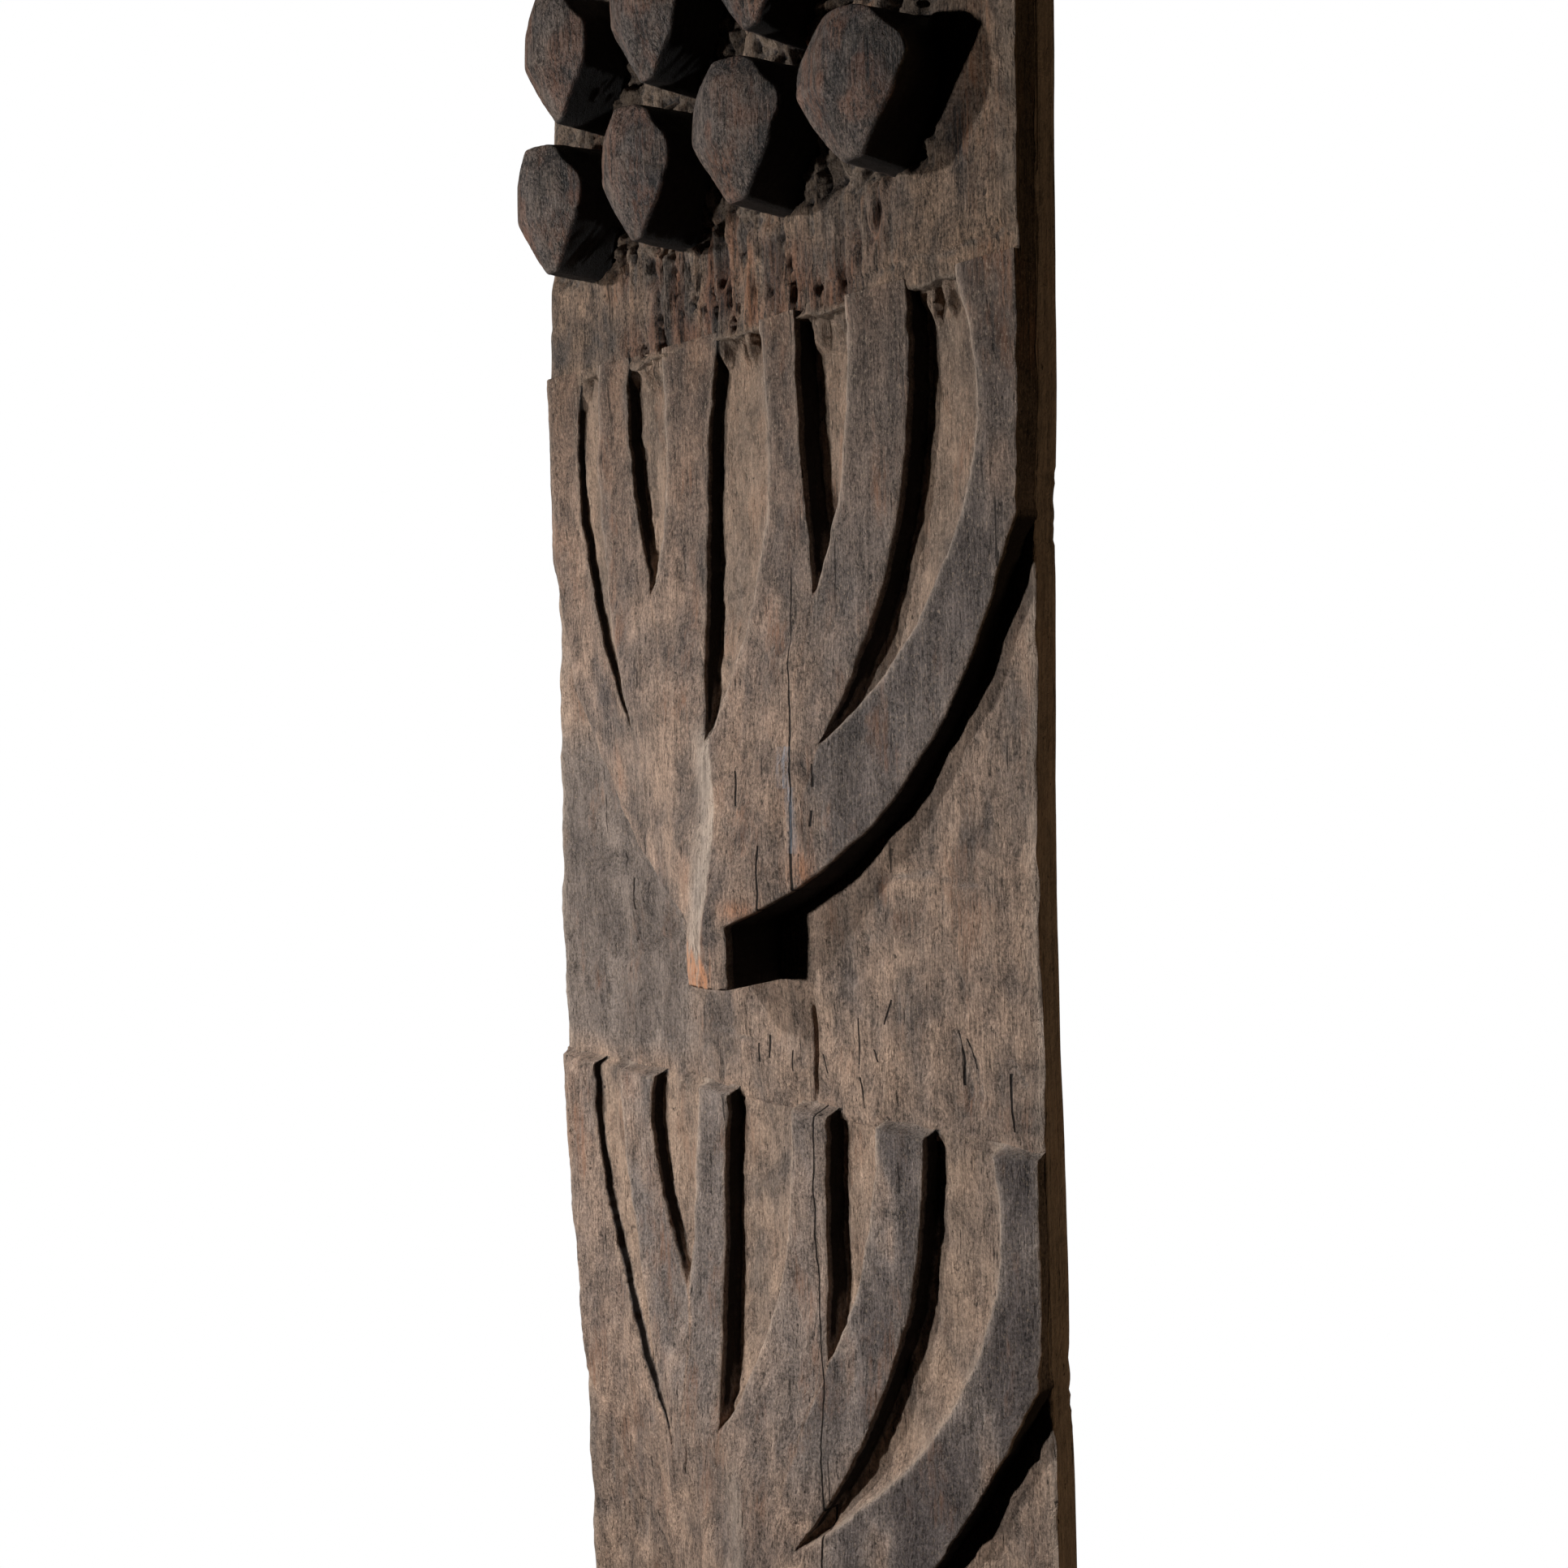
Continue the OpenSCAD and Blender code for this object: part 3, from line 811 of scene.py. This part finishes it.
# ---------------- materials
class Nodes:
    """Small helper that adds and links shader nodes."""

    def __init__(self, material):
        material.use_nodes = True
        self.tree = material.node_tree
        self.tree.nodes.clear()

    def add(self, kind, **settings):
        made = self.tree.nodes.new(kind)
        for key, value in settings.items():
            setattr(made, key, value)
        return made

    def link(self, source, target):
        self.tree.links.new(source, target)

    def end_with(self, shader, kind):
        self.link(shader.outputs[0], self.add(kind).inputs[0])

    def put(self, value, socket):
        if isinstance(value, bpy.types.NodeSocket):
            self.link(value, socket)
        else:
            socket.default_value = value

    def math(self, operation, a, b=0.0, c=0.0):
        made = self.add("ShaderNodeMath", operation=operation)
        for socket, value in zip(made.inputs, (a, b, c)):
            self.put(value, socket)
        return made.outputs[0]

    def spread(self, value, low, high, out_low=0.0, out_high=1.0):
        made = self.add("ShaderNodeMapRange", clamp=True)
        self.put(value, made.inputs["Value"])
        limits = {"From Min": low, "From Max": high, "To Min": out_low, "To Max": out_high}
        for key, number in limits.items():
            made.inputs[key].default_value = number
        return made.outputs["Result"]

    def mix(self, share, a, b, blend="MIX"):
        made = self.add("ShaderNodeMix", data_type="RGBA", blend_type=blend)
        self.put(share, made.inputs["Factor"])
        self.put(a if isinstance(a, bpy.types.NodeSocket) else (*a, 1.0), made.inputs[6])
        self.put(b if isinstance(b, bpy.types.NodeSocket) else (*b, 1.0), made.inputs[7])
        return made.outputs[2]

    def times(self, a, b):
        return self.math("MULTIPLY", a, b)

    def plus(self, a, b):
        return self.math("ADD", a, b)

    def minus(self, a, b):
        return self.math("SUBTRACT", a, b)

    def larger(self, a, b):
        return self.math("MAXIMUM", a, b)

    def grey(self, value):
        made = self.add("ShaderNodeCombineColor")
        for socket in made.inputs[:3]:
            self.put(value, socket)
        return made.outputs[0]


# near black: painted shade on walls, flanks and hollows in shadow, and the dark of cracks and pores
BLACK = (0.012, 0.008, 0.006)
SMEAR_GREY = (0.30, 0.33, 0.38)


def cracks(n, x, z, wobble, lines):
    """1 along a few long cracks, each given by two ends and a width, in metres."""
    found = None
    for x0, z0, x1, z1, width in lines:
        (z0, x0), (z1, x1) = sorted(((z0, x0), (z1, x1)))
        share = n.spread(z, z0, z1)
        line = n.plus(n.times(share, x1 - x0), x0)
        off = n.math("ABSOLUTE", n.minus(n.plus(x, wobble), line))
        inside = n.times(n.math("GREATER_THAN", z, z0), n.math("LESS_THAN", z, z1))
        one = n.times(n.spread(off, width * 0.35, width, 1.0, 0.0), inside)
        found = one if found is None else n.larger(found, one)
    return found


def wood(
    name, tones, dark_share, crack_lines=(), smears=(),
    shine=0.0, pitted=0.5, contrast=1.0, ruddy=0.1, painted_top_shade=None,
):
    """Weathered hardwood with its grain along z.

    The mesh's marks say where it is recessed and dusty (red), pale from rubbing and from painted
    highlight (green) and freshly broken (alpha). Blue runs from plain wood over greyed wood and
    dark patina to near black, which is painted shade; greyed wood also carries painted shade in hollows.
    """
    brown, charcoal, dust, pale, fresh, red = tones
    material = bpy.data.materials.new(name)
    n = Nodes(material)
    place = n.add("ShaderNodeTexCoord").outputs["Object"]
    xyz = n.add("ShaderNodeSeparateXYZ")
    n.link(place, xyz.inputs[0])
    x, z = xyz.outputs["X"], xyz.outputs["Z"]
    marks = n.add("ShaderNodeAttribute", attribute_name="marks")
    split = n.add("ShaderNodeSeparateColor")
    n.link(marks.outputs["Color"], split.inputs[0])
    recess, wear, kind = split.outputs[0], split.outputs[1], split.outputs[2]
    broken = marks.outputs["Alpha"]

    def grainy(across, lengthwise, detail, rough, distort=0.0):
        """Noise with one scale across the grain and another along it."""
        stretched = n.add("ShaderNodeMapping")
        n.link(place, stretched.inputs["Vector"])
        stretched.inputs["Scale"].default_value = (across, across, lengthwise)
        made = n.add("ShaderNodeTexNoise")
        n.link(stretched.outputs["Vector"], made.inputs["Vector"])
        settings = {"Scale": 1.0, "Detail": detail, "Roughness": rough, "Distortion": distort}
        for key, number in settings.items():
            made.inputs[key].default_value = number
        return made.outputs["Fac"]

    streak = grainy(420, 5, 8.0, 0.66, 0.25)
    fibre = grainy(1300, 40, 5.0, 0.7)
    patch = grainy(24, 14, 6.0, 0.55, 0.5)
    blot = grainy(48, 30, 8.0, 0.7, 0.6)
    blush = grainy(34, 14, 5.0, 0.62)
    check = grainy(170, 7.5, 4.0, 0.6)
    speck = grainy(700, 330, 4.0, 0.7)
    crumb = grainy(560, 400, 6.0, 0.75)
    pore = grainy(1500, 110, 2.0, 0.5)
    flake = n.spread(grainy(150, 62, 3.0, 0.6, 0.8), 0.6, 0.64)

    rough_patch = n.plus(patch, n.times(n.minus(blot, 0.5), 0.4))
    burnt = n.spread(rough_patch, dark_share - 0.17, dark_share + 0.14)
    colour = n.mix(burnt, charcoal, brown)
    greyed = (0.62 * brown[0], 0.76 * brown[1], 0.93 * brown[2])
    patina = (0.66 * charcoal[0], 0.70 * charcoal[1], 0.77 * charcoal[2])
    # kind greys and darkens the wood: real patina, and painted shade in the hollows
    colour = n.mix(n.spread(kind, 0.0, 0.42, 0.0, 0.85), colour, greyed)
    colour = n.mix(n.spread(kind, 0.38, 0.8, 0.0, 0.88), colour, patina)
    painted_light_foot = n.spread(z, -0.5, 0.1, 1.5, 1.0)  # painted light: paler towards the foot
    tone = n.math("MULTIPLY_ADD", n.minus(streak, 0.5), 1.5 * contrast, 1.0)
    for pattern, strength in ((fibre, 1.6), (blot, 1.9), (crumb, 3.6)):
        tone = n.plus(tone, n.times(n.minus(pattern, 0.5), strength * contrast))
    tone = n.times(n.larger(tone, 0.14), painted_light_foot)
    colour = n.mix(1.0, colour, n.grey(tone), "MULTIPLY")
    if painted_top_shade:  # painted shade: darker towards the field
        colour = n.mix(n.spread(z, 0.12, 0.35), colour, painted_top_shade, "MULTIPLY")
    reddish = n.times(n.spread(blush, 0.65 - ruddy, 0.78 - ruddy), n.spread(streak, 0.4, 0.6))
    colour = n.mix(n.times(reddish, 0.7), colour, red)
    light_speck = n.times(n.spread(speck, 0.57, 0.65), 0.6)
    colour = n.mix(light_speck, colour, dust)
    dusty = n.times(recess, n.spread(blot, 0.3, 0.7, 0.1, 0.6))
    colour = n.mix(dusty, colour, dust)
    # wear mark: rubbed pale wood, and painted highlight on edges and facets that face the lamps
    rub = n.math("MULTIPLY_ADD", blot, 0.5, streak)
    rubbed = n.times(wear, n.spread(rub, 0.5, 0.95, 0.25, 1.0))
    colour = n.mix(n.times(rubbed, 0.8), colour, pale)
    splinter = n.plus(streak, n.times(crumb, 0.6))
    torn_open = n.times(broken, n.spread(splinter, 0.66, 0.86))
    colour = n.mix(n.times(torn_open, 0.85), colour, fresh)
    # painted shade: kind near 1 turns walls, flanks and hollows that lie in shadow near black
    colour = n.mix(n.spread(kind, 0.86, 1.0, 0.0, 0.94), colour, BLACK)
    # short splits, pores, pits and long cracks, all dark and sunk
    split_dark = n.spread(check, 0.675, 0.70)
    nick = grainy(300, 32, 4.0, 0.62)
    split_dark = n.larger(split_dark, n.spread(nick, 0.675, 0.70))
    pores = n.spread(pore, 0.62, 0.69)
    holes = n.larger(n.times(split_dark, 0.8), n.times(pores, pitted))
    pit = grainy(210, 95, 3.0, 0.6)
    holes = n.larger(holes, n.times(n.spread(pit, 0.69, 0.71), 0.75))
    if crack_lines:
        wobble = grainy(0, 34, 3.0, 0.6)
        wobble = n.times(n.minus(wobble, 0.5), 0.004)
        holes = n.larger(holes, cracks(n, x, z, wobble, crack_lines))
    colour = n.mix(holes, colour, BLACK)
    if smears:
        smeared = n.times(cracks(n, x, z, wobble, smears), n.spread(streak, 0.42, 0.62))
        colour = n.mix(n.times(smeared, 0.6), colour, SMEAR_GREY)

    shader = n.add("ShaderNodeBsdfPrincipled")
    n.link(colour, shader.inputs["Base Color"])
    matt = n.math("MULTIPLY_ADD", streak, 0.3, 0.62 - shine)
    matt = n.plus(matt, n.times(recess, 0.12))
    n.link(matt, shader.inputs["Roughness"])
    shader.inputs["Specular IOR Level"].default_value = 0.3

    crumbly = n.times(crumb, n.math("MULTIPLY_ADD", kind, 0.9, 0.3))
    reliefs = ((fibre, 0.6), (crumbly, 1.6), (holes, -0.9), (blot, 4.5), (flake, -0.45))
    height = n.times(streak, 0.8)
    for pattern, amount in reliefs:
        height = n.math("MULTIPLY_ADD", pattern, amount, height)
    bump = n.add("ShaderNodeBump")
    bump.inputs["Strength"].default_value = 0.9
    bump.inputs["Distance"].default_value = 0.0018
    n.link(height, bump.inputs["Height"])
    n.link(bump.outputs["Normal"], shader.inputs["Normal"])
    n.end_with(shader, "ShaderNodeOutputMaterial")
    return material


# Tones in the order brown, charcoal, dust, pale, fresh, red.
PANEL_TONES = (
    (0.315, 0.212, 0.153), (0.13, 0.10, 0.086), (0.44, 0.33, 0.24),
    (0.66, 0.53, 0.425), (0.62, 0.28, 0.14), (0.31, 0.15, 0.085),
)
FIELD_TONES = (
    (0.200, 0.130, 0.086), (0.072, 0.056, 0.047), (0.26, 0.185, 0.125),
    (0.34, 0.245, 0.17), (0.42, 0.17, 0.08), (0.24, 0.11, 0.055),
)
POD_TONES = (
    (0.128, 0.084, 0.060), (0.046, 0.041, 0.040), (0.30, 0.24, 0.19),
    (0.23, 0.18, 0.145), (0.36, 0.15, 0.08), (0.17, 0.075, 0.042),
)
# Cracks and grey smears: x and z of both ends, and the width, in metres.
UPPER_CRACKS = (
    (0.062, 0.192, 0.068, 0.107, 0.0007), (0.068, 0.107, 0.072, 0.030, 0.0010),
    (0.072, 0.030, 0.070, -0.033, 0.0016), (0.018, 0.051, 0.022, 0.026, 0.0012),
    (0.087, 0.056, 0.087, 0.040, 0.0013), (0.087, 0.024, 0.086, 0.013, 0.0013),
    (0.045, -0.001, 0.043, -0.048, 0.0010),
)
SMEARS = ((0.0645, 0.068, 0.0655, 0.039, 0.007), (0.071, 0.040, 0.0725, -0.006, 0.005))
LOWER_CRACKS = (
    (0.058, -0.19, 0.054, -0.29, 0.0011),
    (0.054, -0.29, 0.066, -0.40, 0.0009),
    (0.066, -0.40, 0.074, -0.53, 0.0011),
)
GROUND_CRACKS = (
    (0.181, -0.123, 0.184, -0.160, 0.0013), (0.223, -0.146, 0.225, -0.184, 0.0012),
    (0.187, -0.128, 0.193, -0.148, 0.0011), (0.091, -0.126, 0.091, -0.159, 0.0010),
    (0.092, -0.168, 0.096, -0.189, 0.0010), (0.123, -0.109, 0.117, -0.127, 0.0012),
    (0.106, -0.146, 0.111, -0.154, 0.0012), (0.054, -0.157, 0.060, -0.170, 0.0010),
    (0.025, -0.158, 0.026, -0.173, 0.0010), (0.000, -0.150, 0.001, -0.167, 0.0012),
    (-0.010, -0.157, -0.008, -0.171, 0.0010), (-0.150, -0.040, -0.149, -0.066, 0.0010),
)

plank_wood = wood("ground_wood", PANEL_TONES, 0.46, GROUND_CRACKS, contrast=1.25)
field_wood = wood("field_grain_wood", FIELD_TONES, 0.48, pitted=0.8, contrast=1.4, ruddy=0.11)
upper_fan_wood = wood(
    "upper_fan_wood", PANEL_TONES, 0.48, UPPER_CRACKS, SMEARS, contrast=1.15, painted_top_shade=(0.60, 0.54, 0.49)
)
lower_fan_wood = wood("lower_fan_wood", PANEL_TONES, 0.46, LOWER_CRACKS, contrast=1.15)
pod_wood = wood("pod_wood", POD_TONES, 0.52, shine=0.16, pitted=0.8, contrast=2.2, ruddy=0.15)

make_plank(plank_wood)
make_field(field_wood)
make_fan(UPPER_FAN, upper_fan_wood)
make_fan(LOWER_FAN, lower_fan_wood)
for k, (name, px, pz) in enumerate(pod_places()):
    make_pod(name, px, pz, 500 + 10 * k, pod_wood)


# ---------------- floor, light, camera
FLOOR_REACH = 6.0  # m from its middle to each side
FILL = 0.0015  # strength of the soft light from all round
# The camera of the photograph, found from the board's converging edges.
CAMERA_PLACE = (0.822, -0.815, 0.106)
TURN, PITCH, ROLL = math.radians(45.2), math.radians(3.43), math.radians(-2.22)
SENSOR = 36.0  # mm
LENS = 35.404  # mm


def glowing_white(name):
    material = bpy.data.materials.new(name)
    n = Nodes(material)
    shader = n.add("ShaderNodeEmission")
    shader.inputs["Color"].default_value = (1, 1, 1, 1)
    shader.inputs["Strength"].default_value = 1.0
    n.end_with(shader, "ShaderNodeOutputMaterial")
    return material


def make_floor():
    mesh = bpy.data.meshes.new("floor")
    s = FLOOR_REACH
    z = -HALF_HEIGHT / 1000 - 0.001  # 1 mm below the plank
    mesh.from_pydata([(-s, -s, z), (s, -s, z), (s, s, z), (-s, s, z)], [], [(0, 1, 2, 3)])
    mesh.materials.append(glowing_white("pale_floor"))
    floor = add_object("floor", mesh)
    floor.visible_diffuse = False
    floor.visible_glossy = False
    floor.visible_shadow = False


def lamp(name, place, target, size, watts, colour=(1, 1, 1)):
    """A round area lamp at a place, turned to face its target."""
    data = bpy.data.lights.new(name, "AREA")
    data.shape = "DISK"
    data.size = size
    data.energy = watts
    data.color = colour
    lamp_object = add_object(name, data)
    lamp_object.location = place
    direction = np.array(target, float) - np.array(place, float)
    yaw = math.atan2(direction[1], direction[0])
    pitch = math.atan2(direction[2], math.hypot(direction[0], direction[1]))
    lamp_object.rotation_euler = (math.pi / 2 + pitch, 0, yaw - math.pi / 2)


def make_world():
    """White behind the object, and only a faint warm fill on it."""
    world = bpy.data.worlds.new("studio")
    bpy.context.scene.world = world
    n = Nodes(world)
    shown = n.add("ShaderNodeBackground")
    shown.inputs["Color"].default_value = (1, 1, 1, 1)
    shown.inputs["Strength"].default_value = 1.0
    fill = n.add("ShaderNodeBackground")
    fill.inputs["Color"].default_value = (1, 0.98, 0.95, 1)
    fill.inputs["Strength"].default_value = FILL
    path = n.add("ShaderNodeLightPath")
    both = n.add("ShaderNodeMixShader")
    n.link(path.outputs["Is Camera Ray"], both.inputs[0])
    n.link(fill.outputs[0], both.inputs[1])
    n.link(shown.outputs[0], both.inputs[2])
    n.end_with(both, "ShaderNodeOutputWorld")


def make_camera():
    ahead = np.array([-math.sin(TURN), math.cos(TURN), 0.0])
    side = np.array([math.cos(TURN), math.sin(TURN), 0.0])
    up = np.array([0.0, 0.0, 1.0])
    look = ahead * math.cos(PITCH) - up * math.sin(PITCH)
    up = up * math.cos(PITCH) + ahead * math.sin(PITCH)
    right = side * math.cos(ROLL) + up * math.sin(ROLL)
    high = up * math.cos(ROLL) - side * math.sin(ROLL)
    data = bpy.data.cameras.new("camera")
    data.sensor_width = SENSOR
    data.lens = LENS
    camera = add_object("camera", data)
    turned = np.stack([right, high, -look, CAMERA_PLACE], axis=1)
    camera.matrix_world = Matrix([*turned.tolist(), (0, 0, 0, 1)])
    bpy.context.scene.camera = camera


make_floor()
make_world()
# two small, near lamps on the left give the hard shadows of the photograph
lamp("key_level", (-0.48, -1.03, -0.13), (0.0, 0, 0.0), 0.05, 9.0)
lamp("key_high", (-0.65, -1.08, 0.59), (0.0, 0, 0.1), 0.05, 12.4)
lamp("back_soft", (-1.6, 2.6, 0.8), (0, 0, 0), 1.6, 40)
lamp("right_soft", (2.2, 1.1, -0.9), (0.25, 0, -0.2), 0.8, 9, (1.0, 0.69, 0.41))
make_camera()
scene = bpy.context.scene
scene.view_settings.view_transform = "Standard"
scene.view_settings.look = "None"
